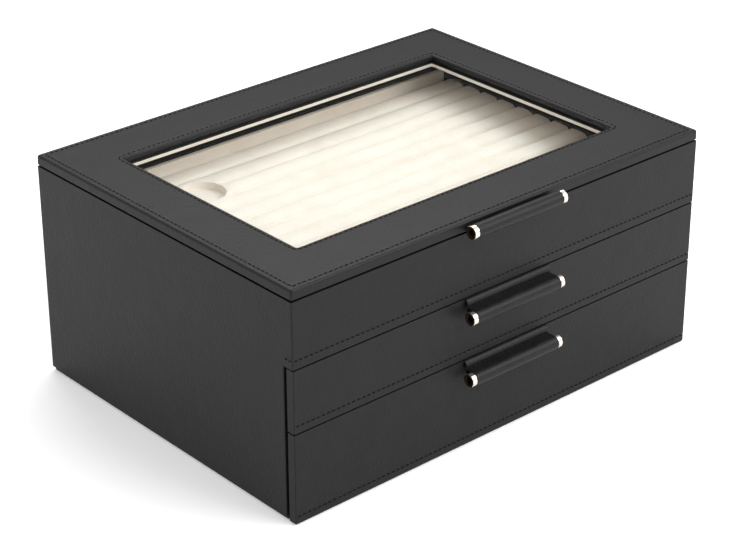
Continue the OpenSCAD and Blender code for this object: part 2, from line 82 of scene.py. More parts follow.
TUBE_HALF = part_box("lid_pull_tube")[1].x
TUBE_R = 3.7 * MM
TUBE_CORE = 3 * MM
TUBE_BORE = 2 * MM


# Nodes for materials

def linear(code):
    """A colour written as an sRGB hex value, turned to the linear values that the shaders take."""
    values = [int(code[i:i + 2], 16) / 255 for i in (1, 3, 5)]
    return tuple(v / 12.92 if v <= 0.04045 else ((v + 0.055) / 1.055) ** 2.4 for v in values) + (1.0,)


def new_material(name):
    material = bpy.data.materials.new(name)
    material.use_nodes = True
    material.node_tree.nodes.clear()
    return material


def add(material, kind, settings=None, **links):
    """Adds a node. settings go on the node or its sockets, and links are sockets or values by socket name."""
    tree = material.node_tree
    node = tree.nodes.new(kind)
    for key, value in (settings or {}).items():
        if isinstance(key, str) and hasattr(node, key):
            setattr(node, key, value)
        else:
            node.inputs[key].default_value = value
    for key, source in links.items():
        socket = node.inputs[int(key[1:])] if key[1:].isdigit() else node.inputs[key.replace("_", " ")]
        tree.links.new(source, socket)
    return node


def ramp(material, source, stops):
    """A colour ramp with stops given as (place, hex colour)."""
    node = add(material, "ShaderNodeValToRGB", Fac=source)
    while len(node.color_ramp.elements) < len(stops):
        node.color_ramp.elements.new(0.5)
    for element, (place, code) in zip(node.color_ramp.elements, stops):
        element.position = place
        element.color = linear(code)
    return node.outputs["Color"]


def shine(material, surface):
    """Ends a material with its output node."""
    add(material, "ShaderNodeOutputMaterial", Surface=surface)
    return material


def place(material):
    return add(material, "ShaderNodeTexCoord").outputs["Object"]


def noise_at(material, size, detail=2.0, roughness=0.5, where=None):
    """Noise whose blotches are about size metres across."""
    return add(material, "ShaderNodeTexNoise", {"Scale": 1 / size, "Detail": detail, "Roughness": roughness},
               Vector=where or place(material)).outputs["Fac"]


# Materials

def coated_leather(name, base, rough, grain_depth, gloss=1.31):
    """Embossed polyurethane leather cloth: a fine pebble with creases between, a satin top coat and slow
    waves where the board under it shows."""
    m = new_material(name)
    where = place(m)
    warp = add(m, "ShaderNodeTexNoise", {"Scale": 1 / (3 * MM), "Detail": 2.0}, Vector=where).outputs["Color"]
    bent = add(m, "ShaderNodeMixRGB", {"Fac": 0.0009}, Color1=where, Color2=warp).outputs[0]
    pebble = add(m, "ShaderNodeTexVoronoi", {"feature": "SMOOTH_F1", "Scale": 1 / (1.3 * MM),
                                             "Smoothness": 0.6}, Vector=bent).outputs["Distance"]
    fine = noise_at(m, 0.5 * MM, 3, where=where)
    cloudy = noise_at(m, 26 * MM, 3, where=where)
    wear = noise_at(m, 7 * MM, 4, 0.65, where=where)
    grain = add(m, "ShaderNodeBump", {"Strength": 0.8, "Distance": grain_depth}, Height=pebble)
    grit = add(m, "ShaderNodeBump", {"Strength": 0.5, "Distance": 0.05 * MM}, Height=fine,
               Normal=grain.outputs[0])
    waves = add(m, "ShaderNodeBump", {"Strength": 0.5, "Distance": 0.8 * MM}, Height=cloudy,
                Normal=grit.outputs[0])
    colour = ramp(m, wear, [(0.3, base[0]), (0.7, base[1])])
    roughness = add(m, "ShaderNodeMapRange", {"To Min": rough[0], "To Max": rough[1]}, Value=wear)
    skin = add(m, "ShaderNodeBsdfPrincipled", {"IOR": gloss},
               Base_Color=colour, Roughness=roughness.outputs["Result"], Normal=waves.outputs[0])
    return shine(m, skin.outputs[0])


def polyester_thread():
    """Bonded polyester sewing thread: a tight twist, a little duller than the leather beside it."""
    m = new_material("Bonded polyester thread")
    twist = add(m, "ShaderNodeTexWave", {"Scale": 1 / (0.5 * MM) / 10, "Distortion": 1.0}, Vector=place(m))
    bump = add(m, "ShaderNodeBump", {"Strength": 0.5, "Distance": 0.05 * MM}, Height=twist.outputs["Fac"])
    colour = ramp(m, twist.outputs["Fac"], [(0.0, "#020202"), (1.0, "#080808")])
    skin = add(m, "ShaderNodeBsdfPrincipled", {"Roughness": 0.9, "IOR": 1.3}, Base_Color=colour,
               Normal=bump.outputs[0])
    return shine(m, skin.outputs[0])


def cut_velvet(name, shade, light, pile):
    """Short-pile velvet: a soft, matt nap that lightens where it is brushed the other way and glows at its
    edges."""
    m = new_material(name)
    where = place(m)
    nap = noise_at(m, 18 * MM, 3, 0.6, where=where)
    tufts = noise_at(m, 0.5 * MM, 2, 0.5, where=where)
    mixed = add(m, "ShaderNodeMath", {"operation": "MULTIPLY_ADD", 1: 0.35}, _0=tufts, _2=nap).outputs[0]
    colour = ramp(m, mixed, [(0.35, shade), (0.95, light)])
    bump = add(m, "ShaderNodeBump", {"Strength": 0.25, "Distance": pile}, Height=tufts)
    brushed = add(m, "ShaderNodeBump", {"Strength": 0.2, "Distance": 0.5 * MM}, Height=nap,
                  Normal=bump.outputs[0])
    skin = add(m, "ShaderNodeBsdfPrincipled",
               {"Roughness": 0.95, "IOR": 1.4, "Specular IOR Level": 0.2, "Sheen Weight": 0.35,
                "Sheen Roughness": 0.45, "Sheen Tint": linear("#fff8f0")}, Base_Color=colour,
               Normal=brushed.outputs[0])
    return shine(m, skin.outputs[0])


def nickel_plate(name, tint, rough):
    """Polished nickel plate over brass: a warm white mirror with faint buffing marks."""
    m = new_material(name)
    where = place(m)
    stretched = add(m, "ShaderNodeMapping", {"Scale": (0.05, 1, 1)}, Vector=where).outputs[0]
    marks = noise_at(m, 0.25 * MM, 3, where=stretched)
    haze = noise_at(m, 3 * MM, 2, where=where)
    roughness = add(m, "ShaderNodeMapRange", {"To Min": rough[0], "To Max": rough[1]}, Value=haze)
    bump = add(m, "ShaderNodeBump", {"Strength": 0.12, "Distance": 0.01 * MM}, Height=marks)
    skin = add(m, "ShaderNodeBsdfPrincipled", {"Base Color": linear(tint), "Metallic": 1.0},
               Roughness=roughness.outputs["Result"], Normal=bump.outputs[0])
    return shine(m, skin.outputs[0])


def shaded_tube_ends():
    """The tube's end faces and its bore: dark brass whose darkness is painted shade, standing in for the
    shadow inside the hollow ends.
    """
    m = new_material("Tube ends darkened as painted shade")
    # Both colours of the ramp are dark: painted shade for the hollow ends, with a random speckle.
    speckle = noise_at(m, 0.4 * MM, 3)
    colour = ramp(m, speckle, [(0.3, "#2a211a"), (0.7, "#4a3a2c")])
    skin = add(m, "ShaderNodeBsdfPrincipled", {"Metallic": 1.0, "Roughness": 0.55}, Base_Color=colour)
    return shine(m, skin.outputs[0])


def float_glass():
    """Clear float glass: it lets the lamps through with a faint green cast and mirrors at a low angle."""
    m = new_material("Clear float glass")
    through = add(m, "ShaderNodeBsdfTransparent", {"Color": linear("#fbfdfc")})
    mirror = add(m, "ShaderNodeBsdfGlossy", {"Color": linear("#ffffff"), "Roughness": 0.02})
    edge_on = add(m, "ShaderNodeLayerWeight", {"Blend": 0.5}).outputs["Facing"]
    steep = add(m, "ShaderNodeMath", {"operation": "POWER", 1: 5.0}, _0=edge_on).outputs[0]
    mirrored = add(m, "ShaderNodeMath", {"operation": "MULTIPLY_ADD", 1: 0.96, 2: 0.04}, _0=steep).outputs[0]
    both = add(m, "ShaderNodeMixShader", _0=mirrored, _1=through.outputs[0], _2=mirror.outputs[0])
    return shine(m, both.outputs[0])


def lining_paper():
    """Black lining paper glued over fibreboard: matt, with the paper's fibres and the board's slight
    unevenness."""
    m = new_material("Black lining paper")
    where = place(m)
    fibres = noise_at(m, 0.8 * MM, 5, 0.7, where=where)
    colour = ramp(m, fibres, [(0.3, "#1d1b1a"), (0.8, "#2b2827")])
    bump = add(m, "ShaderNodeBump", {"Strength": 0.4, "Distance": 0.06 * MM}, Height=fibres)
    skin = add(m, "ShaderNodeBsdfPrincipled", {"Roughness": 0.82, "IOR": 1.45}, Base_Color=colour,
               Normal=bump.outputs[0])
    return shine(m, skin.outputs[0])


def pressed_felt():
    """Pressed felt: tangled fibres with no direction, quite matt."""
    m = new_material("Pressed black felt")
    where = place(m)
    tangle = noise_at(m, 0.6 * MM, 6, 0.8, where=where)
    colour = ramp(m, tangle, [(0.3, "#121112"), (0.75, "#262425")])
    bump = add(m, "ShaderNodeBump", {"Strength": 0.8, "Distance": 0.15 * MM}, Height=tangle)
    skin = add(m, "ShaderNodeBsdfPrincipled", {"Roughness": 0.97, "Sheen Weight": 0.2}, Base_Color=colour,
               Normal=bump.outputs[0])
    return shine(m, skin.outputs[0])


LEATHER = coated_leather("Embossed leather cloth", ("#0f0e0f", "#161516"), (0.44, 0.54), 0.12 * MM)
# A darker, duller copy of the leather for the band turned down inside the case: its darker colour is painted
# shade for the shadow under the lid, and its low gloss is a rougher finish.
SHADE_DARKENED_LEATHER = coated_leather("Leather cloth darkened inside for painted shade", ("#0a0a0a", "#0e0e0e"), (0.7, 0.8),
                                0.04 * MM, 1.12)
STRAP_LEATHER = coated_leather("Folded strap leather", ("#0f0e0f", "#191819"), (0.42, 0.52), 0.12 * MM)
THREAD = polyester_thread()
VELVET = cut_velvet("Cream velvet", "#f0e2d8", "#f9f1ea", 0.12 * MM)
NICKEL = nickel_plate("Polished nickel plate", "#ebe3d6", (0.2, 0.3))
TUBE_END_SHADE = shaded_tube_ends()
HINGE_METAL = nickel_plate("Satin nickel plate", "#c9c5bd", (0.22, 0.38))
GLASS = float_glass()
PAPER = lining_paper()
FELT = pressed_felt()


# Meshes

def mesh_object(name, verts, faces, material):
    mesh = bpy.data.meshes.new(name)
    mesh.from_pydata([tuple(v) for v in verts], [], faces)
    mesh.validate()
    mesh.update()
    obj = bpy.data.objects.new(name, mesh)
    scene.collection.objects.link(obj)
    obj.data.materials.append(material)
    return obj


def from_bmesh(name, bm, material):
    mesh = bpy.data.meshes.new(name)
    bm.normal_update()
    bm.to_mesh(mesh)
    bm.free()
    obj = bpy.data.objects.new(name, mesh)
    scene.collection.objects.link(obj)
    obj.data.materials.append(material)
    return obj


def smooth(obj, angle=40):
    """Smooth shading with creases kept, and big flat faces kept flat beside rounded edges."""
    for polygon in obj.data.polygons:
        polygon.use_smooth = True
    obj.data.set_sharp_from_angle(angle=math.radians(angle))
    flat = obj.modifiers.new("Flat faces stay flat", "WEIGHTED_NORMAL")
    flat.keep_sharp = True
    flat.weight = 90
    return obj


def finished(obj, body, slot, *nodes):
    """Hands a finished piece to the frame."""
    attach(obj, body)
    if nodes:
        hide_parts(*nodes)
    return obj


def rounded_loop(half_x, half_y, radius, z, stops_x=(), stops_y=(), arc=6):
    """Points round a rectangle with round corners, anticlockwise from the front right corner. stops_x and
    stops_y are places along the front and back and along the two sides that get a point of their own."""
    radius = min(radius, half_x, half_y)
    points = []
    corners = [(1, -1, -90), (1, 1, 0), (-1, 1, 90), (-1, -1, 180)]
    sides = [("y", 1), ("x", -1), ("y", -1), ("x", 1)]
    for (sx, sy, start), (along, way) in zip(corners, sides):
        cx, cy = sx * (half_x - radius), sy * (half_y - radius)
        for i in range(arc + 1):
            a = math.radians(start + 90 * i / arc)
            points.append((cx + radius * math.cos(a), cy + radius * math.sin(a), z))
        for stop in (sorted(stops_y if along == "y" else stops_x))[::way]:
            points.append((sx * half_x, stop, z) if along == "y" else (stop, sy * half_y, z))
    return points


def bridged(loops, closed=False, caps=False):
    """Faces between loops of as many points each."""
    n = len(loops[0])
    verts = [p for loop in loops for p in loop]
    faces = []
    rows = len(loops) if closed else len(loops) - 1
    for r in range(rows):
        a, b = r * n, ((r + 1) % len(loops)) * n
        for i in range(n):
            j = (i + 1) % n
            faces.append((a + i, a + j, b + j, b + i))
    if caps:
        faces.append(tuple(range(n))[::-1])
        faces.append(tuple(range((len(loops) - 1) * n, len(loops) * n)))
    return verts, faces


def carved_block(xs, ys, zs, solid):
    """The skin of the cells of a box grid for which solid(x, y, z) of the cell's middle is true."""
    xs, ys, zs = (sorted(set(round(v, 7) for v in vs)) for vs in (xs, ys, zs))
    mid = [[(a + b) / 2 for a, b in zip(vs, vs[1:])] for vs in (xs, ys, zs)]
    full = {(i, j, k)
            for i, x in enumerate(mid[0])
            for j, y in enumerate(mid[1])
            for k, z in enumerate(mid[2]) if solid(x, y, z)}
    bm = bmesh.new()
    made = {}

    def vert(i, j, k):
        if (i, j, k) not in made:
            made[i, j, k] = bm.verts.new((xs[i], ys[j], zs[k]))
        return made[i, j, k]

    sides = [((1, 0, 0), [(1, 0, 0), (1, 1, 0), (1, 1, 1), (1, 0, 1)]),
             ((-1, 0, 0), [(0, 0, 0), (0, 0, 1), (0, 1, 1), (0, 1, 0)]),
             ((0, 1, 0), [(0, 1, 0), (0, 1, 1), (1, 1, 1), (1, 1, 0)]),
             ((0, -1, 0), [(0, 0, 0), (1, 0, 0), (1, 0, 1), (0, 0, 1)]),
             ((0, 0, 1), [(0, 0, 1), (1, 0, 1), (1, 1, 1), (0, 1, 1)]),
             ((0, 0, -1), [(0, 0, 0), (0, 1, 0), (1, 1, 0), (1, 0, 0)])]
    for i, j, k in sorted(full):
        for (dx, dy, dz), corners in sides:
            if (i + dx, j + dy, k + dz) not in full:
                bm.faces.new([vert(i + a, j + b, k + c) for a, b, c in corners])
    return bm


def round_edges(bm, radius, chosen, segments=4):
    """Rounds the sharp edges whose middle and direction chosen(middle, direction) accepts."""
    bm.normal_update()
    edges = []
    for edge in bm.edges:
        if len(edge.link_faces) != 2 or edge.calc_face_angle(0) < math.radians(60):
            continue
        a, b = edge.verts[0].co, edge.verts[1].co
        if chosen((a + b) / 2, (b - a).normalized()):
            edges.append(edge)
    bmesh.ops.bevel(bm, geom=edges, offset=radius, segments=segments, profile=0.5, affect="EDGES",
                    clamp_overlap=True)


def outward(obj):
    """Turns the faces of a closed mesh outwards."""
    bm = bmesh.new()
    bm.from_mesh(obj.data)
    bmesh.ops.recalc_face_normals(bm, faces=bm.faces)
    bm.to_mesh(obj.data)
    bm.free()


def cut_away(obj, cutters):
    """Takes the shapes of closed meshes out of a piece."""
    for i, cutter in enumerate(cutters):
        cut = obj.modifiers.new("Cut %d" % i, "BOOLEAN")
        cut.operation = "DIFFERENCE"
        cut.solver = "EXACT"
        cut.object = cutter
    made = baked(obj)
    for cutter in cutters:
        bpy.data.objects.remove(cutter)
    return made


def mortised(obj, leaves):
    """Lets the two hinge leaves of a node into a cover."""
    lo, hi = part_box(leaves)
    play = 0.06 * MM
    cutters = []
    for side in (-1, 1):
        a, b = sorted((side * (hi.x + play), side * (hi.x - HINGE_WIDTH - play)))
        bm = carved_block([a, b], [lo.y - play, hi.y + HINGE_WIDTH], [lo.z - play, hi.z + play],
                          lambda x, y, z: True)
        cutters.append(from_bmesh("mortise", bm, LEATHER))
    return cut_away(obj, cutters)


def arc(centre, radius, start, end, steps):
    """Points (y, z) on an arc from one angle to another, with 0 pointing back and 90 up."""
    angles = [math.radians(start + (end - start) * i / steps) for i in range(steps + 1)]
    return [(centre[0] + radius * math.cos(a), centre[1] + radius * math.sin(a)) for a in angles]


def near(a, b, gap=0.02 * MM):
    return abs(a - b) < gap


# Stitches: one tree lays a stitch at every pitch along a line

def stitch_tree():
    tree = bpy.data.node_groups.new("Lockstitch row", "GeometryNodeTree")
    face = tree.interface
    face.new_socket("Line", in_out="INPUT", socket_type="NodeSocketGeometry")
    for name in ("Pitch", "Stitch length", "Thread radius"):
        face.new_socket(name, in_out="INPUT", socket_type="NodeSocketFloat")
    face.new_socket("Thread", in_out="INPUT", socket_type="NodeSocketMaterial")
    face.new_socket("Stitches", in_out="OUTPUT", socket_type="NodeSocketGeometry")

    def node(kind, settings=None, links=()):
        made = tree.nodes.new(kind)
        for key, value in (settings or {}).items():
            if isinstance(key, str) and hasattr(made, key):
                setattr(made, key, value)
            else:
                made.inputs[key].default_value = value
        for key, source in links:
            tree.links.new(source, made.inputs[key])
        return made

    given = node("NodeGroupInput")
    curve = node("GeometryNodeMeshToCurve", None, [("Mesh", given.outputs["Line"])])
    points = node("GeometryNodeResampleCurve", {"mode": "LENGTH"},
                  [("Curve", curve.outputs[0]), ("Length", given.outputs["Pitch"])])
    tangent = node("GeometryNodeInputTangent")
    turned = node("FunctionNodeAlignRotationToVector", {"axis": "X"}, [("Vector", tangent.outputs[0])])
    ball = node("GeometryNodeMeshUVSphere", {"Segments": 8, "Rings": 6, "Radius": 1.0})
    half = node("ShaderNodeMath", {"operation": "MULTIPLY", 1: 0.5},
                [(0, given.outputs["Stitch length"])])
    size = node("ShaderNodeCombineXYZ", None,
                [("X", half.outputs[0]), ("Y", given.outputs["Thread radius"]),
                 ("Z", given.outputs["Thread radius"])])
    shaped = node("GeometryNodeTransform", None, [("Geometry", ball.outputs[0]), ("Scale", size.outputs[0])])
    laid = node("GeometryNodeInstanceOnPoints", None,
                [("Points", points.outputs[0]), ("Instance", shaped.outputs[0]),
                 ("Rotation", turned.outputs[0])])
    whole = node("GeometryNodeRealizeInstances", None, [("Geometry", laid.outputs[0])])
    rounded = node("GeometryNodeSetShadeSmooth", None, [("Geometry", whole.outputs[0])])
    coloured = node("GeometryNodeSetMaterial", None,
                    [("Geometry", rounded.outputs[0]), ("Material", given.outputs["Thread"])])
    node("NodeGroupOutput", None, [(0, coloured.outputs[0])])
    return tree


STITCH_TREE = stitch_tree()


def baked(obj):
    """The plain mesh of an object with its modifiers, in place of the object."""
    shape = obj.evaluated_get(bpy.context.evaluated_depsgraph_get())
    mesh = bpy.data.meshes.new_from_object(shape)
    made = bpy.data.objects.new(obj.name + "_made", mesh)
    scene.collection.objects.link(made)
    name = obj.name
    bpy.data.objects.remove(obj)
    made.name = name
    return made


def stitches(name, lines, body):
    """Rows of stitches along lines of points. A closed line repeats its first point."""
    verts, edges = [], []
    for line in lines:
        start = len(verts)
        verts += [tuple(p) for p in line]
        edges += [(start + i, start + i + 1) for i in range(len(line) - 1)]
    mesh = bpy.data.meshes.new(name)
    mesh.from_pydata(verts, edges, [])
    obj = bpy.data.objects.new(name, mesh)
    scene.collection.objects.link(obj)
    row = obj.modifiers.new("Stitches", "NODES")
    row.node_group = STITCH_TREE
    inputs = {"Pitch": STITCH_PITCH, "Stitch length": STITCH_LENGTH, "Thread radius": THREAD_RADIUS,
              "Thread": THREAD}
    for item in STITCH_TREE.interface.items_tree:
        if item.in_out == "INPUT" and item.name in inputs:
            row[item.identifier] = inputs[item.name]
    made = baked(obj)
    finished(made, body, "black_leather")
    return made


# Lid

def seam(distance, centre, depth=SEAM_DEPTH):
    """Depth of the leather, drawn down by its stitches, at a distance from the line."""
    return depth * math.exp(-((distance - centre) / (SEAM_HALF_WIDTH * 0.6)) ** 2)


def lid_cover():
    """Leather of the lid: a rolled edge round the window, a drawn-down seam beside it and another round the
    rim."""
    top, bottom = LID_HI.z, LID_LO.z
    out_x, out_y = LID_HI.x, LID_HI.y
    strap_half = STRAP_WIDTH / 2 + 0.1 * MM
    stops_x = [-strap_half - 0.1 * MM, -strap_half, strap_half, strap_half + 0.1 * MM]
    loops = []

    def ring(grow_x, grow_y, radius, z):
        loops.append(rounded_loop(grow_x, grow_y, radius, z, stops_x, (0,)))

    # From the glass up the window's wall and over the bead
    steps = 7
    for i in range(steps + 1):
        a = math.radians(90 * i / steps)
        d = BEAD_RADIUS * (1 - math.cos(a))
        z = top - BEAD_RADIUS * (1 - math.sin(a))
        if i == 0:
            ring(WINDOW_X, WINDOW_Y, WINDOW_RADIUS, GLASS_HI.z + 0.02 * MM)
        ring(WINDOW_X + d, WINDOW_Y + d, WINDOW_RADIUS + d, z)
    # Across the seam at the window
    for k in (-1.0, -0.6, -0.3, 0, 0.3, 0.6, 1.0, 1.6):
        d = STITCH_FROM_WINDOW + k * SEAM_HALF_WIDTH
        if d > BEAD_RADIUS + 0.05 * MM:
            ring(WINDOW_X + d, WINDOW_Y + d, 0.7 * MM + d, top - seam(d, STITCH_FROM_WINDOW))
    # Across the seam at the rim
    for k in (-1.6, -1.0, -0.6, -0.3, 0, 0.3, 0.6, 1.0):
        d = STITCH_FROM_EDGE - k * SEAM_HALF_WIDTH
        radius = max(0.4 * MM, CORNER_RADIUS - d + 1.2 * MM)
        ring(out_x - d, out_y - d, radius, top - seam(d, STITCH_FROM_EDGE))
    # Over the rim and down its side
    for i in range(steps + 1):
        a = math.radians(90 * i / steps)
        d = LID_EDGE_RADIUS * (1 - math.sin(a))
        z = top - LID_EDGE_RADIUS * (1 - math.cos(a))
        ring(out_x - d, out_y - d, max(0.5 * MM, CORNER_RADIUS + 0.3 * MM - d), z)
    low_radius = 0.8 * MM
    for i in range(5):
        a = math.radians(90 * i / 4)
        d = low_radius * (1 - math.cos(a))
        z = bottom + low_radius * (1 - math.sin(a))
        ring(out_x - d, out_y - d, CORNER_RADIUS - d, z)
    # Under the rail to the lining, and back inside the leather
    pocket_x, pocket_y = LINING_HI.x + 0.3 * MM, LINING_HI.y + 0.3 * MM
    ring(pocket_x, pocket_y, CORNER_RADIUS, bottom)
    ring(pocket_x, pocket_y, CORNER_RADIUS, bottom + SKIN)
    ring(out_x - SKIN, out_y - SKIN, 1.2 * MM, bottom + SKIN)
    ring(out_x - SKIN, out_y - SKIN, 1.2 * MM, top - LID_EDGE_RADIUS)
    ring(out_x - SKIN - 0.5 * MM, out_y - SKIN - 0.5 * MM, 1 * MM, top - SKIN)
    ring(WINDOW_X + BEAD_RADIUS, WINDOW_Y + BEAD_RADIUS, WINDOW_RADIUS, top - SKIN)
    ring(WINDOW_X + SKIN, WINDOW_Y + SKIN, WINDOW_RADIUS, top - BEAD_RADIUS)
    ring(WINDOW_X + SKIN, WINDOW_Y + SKIN, WINDOW_RADIUS, GLASS_HI.z + 0.02 * MM)
    verts, faces = bridged(loops, closed=True)
    # The strap comes out of a slit under the front rail
    slit = bottom + STRAP_T + 0.15 * MM
    verts = [(x, y, max(z, slit)) if y < pocket_y * -0.98 and abs(x) <= strap_half + 0.01 * MM and z < slit
             else (x, y, z) for x, y, z in verts]
    obj = mortised(mesh_object("lid_cover", verts, faces, LEATHER), "lid_hinge_leaves")
    return finished(smooth(obj, 50), "lid", "black_leather", "lid_leather")


def seam_line(half_x, half_y, radius, z):
    line = rounded_loop(half_x, half_y, radius, z, arc=8)
    return line + line[:1]


def lid_stitches():
    z = LID_HI.z - SEAM_DEPTH + THREAD_RADIUS * 0.45
    d, e = STITCH_FROM_WINDOW, STITCH_FROM_EDGE
    stitches("lid_stitches", [seam_line(WINDOW_X + d, WINDOW_Y + d, 0.7 * MM + d, z),
                              seam_line(LID_HI.x - e, LID_HI.y - e, 0.6 * MM, z)], "lid")


def lid_lining():
    """Velvet-covered frame under the glass, with soft edges."""
    r = 0.7 * MM
    lo, hi = LINING_LO.z, LINING_HI.z
    loops = []

    def ring(d, z):
        loops.append(rounded_loop(WINDOW_X + d, WINDOW_Y + d, WINDOW_RADIUS + d, z, (0,), (0,)))

    for i in range(5):
        a = math.radians(90 * i / 4)
        ring(r * (1 - math.sin(a)), lo + r * (1 - math.cos(a)))
    ring(0, hi - 0.4 * MM)
    ring(0, hi - 0.15 * MM)
    ring(0.15 * MM, hi)
    for z, d in ((hi, 0), (hi - 0.4 * MM, 0)):
        loops.append(rounded_loop(LINING_HI.x, LINING_HI.y, CORNER_RADIUS, z, (0,), (0,)))
    for i in range(5):
        a = math.radians(90 * i / 4)
        d = r * (1 - math.cos(a))
        loops.append(rounded_loop(LINING_HI.x - d, LINING_HI.y - d, CORNER_RADIUS, lo + r * (1 - math.sin(a)),
                                  (0,), (0,)))
    verts, faces = bridged(loops, closed=True)
    obj = mesh_object("lid_velvet_frame", verts, faces, VELVET)
    obj.data.materials.append(PAPER)
    for polygon in obj.data.polygons:
        if polygon.center.z > hi - 0.3 * MM:
            polygon.material_index = 1
    return finished(smooth(obj, 50), "lid", "cream_velvet", "lid_lining")


def window_glass():
    """The pane, with its edges eased."""
    ease = 0.2 * MM
    loops = []
    for d, z in ((ease, GLASS_LO.z + 0.01 * MM), (0, GLASS_LO.z + ease),
                 (0, GLASS_HI.z - ease), (ease, GLASS_HI.z)):
        loops.append(rounded_loop(GLASS_HI.x - d, GLASS_HI.y - d, 0.5 * MM, z, (0,), (0,)))
    verts, faces = bridged(loops, caps=True)
    obj = mesh_object("window_glass", verts, faces, GLASS)
    return finished(obj, "lid", "glass", "glass_pane")


# Case

def case_cover():
    """Leather of the case: over the outside, round the front edges and the rim, and turned down inside."""
    hx, hy = CASE_HI.x, CASE_HI.y
    in_x, in_y = SIDE_LO.x, BACK_LO.y
    bare_x, bare_y = in_x - TURN_IN, in_y - TURN_IN
    z0, z1 = CASE_LO.z, CASE_HI.z
    strip_z = FASCIA_LO.z
    fascia_z = strip_z - SKIN
    turned_z = z1 - TURN_IN_DEPTH
    edge = -in_y

    def board(x, y, z):
        ax = abs(x)
        side = in_x < ax < hx - SKIN and y < in_y and z < z1 - SKIN and (
            y > edge + SKIN or (y > edge and z > strip_z))
        back = y > in_y and ax < hx - SKIN and y < hy - SKIN and z < z1 - SKIN
        front = y < -in_y and y > SKIN - hy and ax < hx - SKIN and strip_z < z < z1 - SKIN
        return side or back or front

    def solid(x, y, z):
        if board(x, y, z):
            return False
        if y < edge and z < fascia_z:
            return False
        if abs(x) < bare_x and abs(y) < bare_y:
            return False
        if abs(x) < in_x and abs(y) < in_y:
            return z > turned_z
        return True

    bm = carved_block([s * v for s in (-1, 1) for v in (hx, hx - SKIN, in_x, bare_x)],
                      [-hy, SKIN - hy, -in_y, -bare_y, edge + SKIN, bare_y, in_y, hy - SKIN, hy],
                      [z0, fascia_z, strip_z, turned_z, z1 - SKIN, z1], solid)
    round_edges(bm, CORNER_RADIUS, lambda m, d: abs(d.z) > 0.9 and near(abs(m.x), hx)
                and near(abs(m.y), hy), 5)
    round_edges(bm, 1.1 * MM, lambda m, d: near(m.z, z1) and abs(d.z) < 0.1
                and (abs(m.x) > hx - CORNER_RADIUS * 1.01 or abs(m.y) > hy - CORNER_RADIUS * 1.01), 5)
    round_edges(bm, 0.45 * MM, lambda m, d: near(m.z, z1) and abs(d.z) < 0.1
                and abs(m.x) < bare_x + 0.1 * MM and abs(m.y) < bare_y + 0.1 * MM, 3)
    round_edges(bm, 1.2 * MM, lambda m, d: near(m.z, fascia_z) and abs(d.z) < 0.1
                and m.y < -hy + CORNER_RADIUS * 1.01, 5)
    round_edges(bm, 0.7 * MM, lambda m, d: abs(d.z) > 0.9 and near(m.y, edge) and near(abs(m.x), hx)
                and m.z < fascia_z, 4)
    obj = mortised(from_bmesh("case_cover", bm, LEATHER), "case_hinge_leaves")
    # The band turned down inside gets the darker copy of the leather, whose darker colour is painted shade.
    obj.data.materials.append(SHADE_DARKENED_LEATHER)
    for polygon in obj.data.polygons:
        c = polygon.center
        if abs(c.x) < in_x and abs(c.y) < in_y and c.z < z1 - 0.6 * MM and max(
                abs(c.x) - bare_x, abs(c.y) - bare_y) > -0.1 * MM:
            polygon.material_index = 1
    return finished(smooth(obj), "case", "black_leather", "case_leather")


# Drawer fronts

def front_cover(name, body, node):
    """Leather of a drawer front: rounded edges, and a seam drawn down along its lower edge."""
    lo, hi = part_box(node)
    strap_half = STRAP_WIDTH / 2 + 0.1 * MM
    notch = hi.z - STRAP_T - 0.05 * MM
    seam_z = lo.z + STITCH_ON_FRONT
    seam_stops = [seam_z + k * SEAM_HALF_WIDTH for k in (-1, -0.5, 0, 0.5, 1)]

    def solid(x, y, z):
        board = abs(x) < hi.x - SKIN and y > lo.y + SKIN and lo.z + SKIN < z < hi.z - SKIN
        return not board and not (abs(x) < strap_half and z > notch)

    bm = carved_block([lo.x, lo.x + SKIN, -strap_half, strap_half, hi.x - SKIN, hi.x],
                      [lo.y, lo.y + SKIN, hi.y],
                      [lo.z, lo.z + SKIN, hi.z - SKIN, notch, hi.z] + seam_stops, solid)
    for v in bm.verts:
        if near(v.co.y, lo.y) and abs(v.co.z - seam_z) < SEAM_HALF_WIDTH * 0.9:
            v.co.y += seam(v.co.z - seam_z, 0)
    outer = lambda m: near(m.y, lo.y, 0.4 * MM)
    round_edges(bm, 1.6 * MM, lambda m, d: outer(m) and abs(d.z) > 0.7 and near(abs(m.x), hi.x), 5)
    round_edges(bm, 1.1 * MM, lambda m, d: outer(m) and abs(d.x) > 0.9
                and (near(m.z, lo.z) or near(m.z, hi.z)), 4)
    round_edges(bm, 0.5 * MM, lambda m, d: outer(m) and abs(d.x) > 0.9 and near(m.z, notch), 3)
    obj = from_bmesh(name, bm, LEATHER)
    finished(smooth(obj), body, "black_leather", node)
    z = seam_z
    y = lo.y + SEAM_DEPTH - THREAD_RADIUS * 0.45
    stitches(name.replace("cover", "stitches"), [[(lo.x + 2.5 * MM, y, z), (hi.x - 2.5 * MM, y, z)]], body)
    return obj


def fascia_stitches():
    """The seam over the fascia's lower edge, which runs a little way on to the box's sides."""
    z = FASCIA_LO.z - SKIN + 4.7 * MM
    proud = THREAD_RADIUS * 0.3
    x, y = CASE_HI.x + proud, CASE_LO.y - proud
    run = 5 * MM
    r = CORNER_RADIUS
    right = [(x - r + r * math.sin(math.radians(a)), y + r - r * math.cos(math.radians(a)), z)
             for a in range(0, 91, 15)] + [(x, y + run, z)]
    left = [(-px, py, pz) for px, py, pz in reversed(right)]
    stitches("fascia_stitches", [left + right], "case")


# Pulls

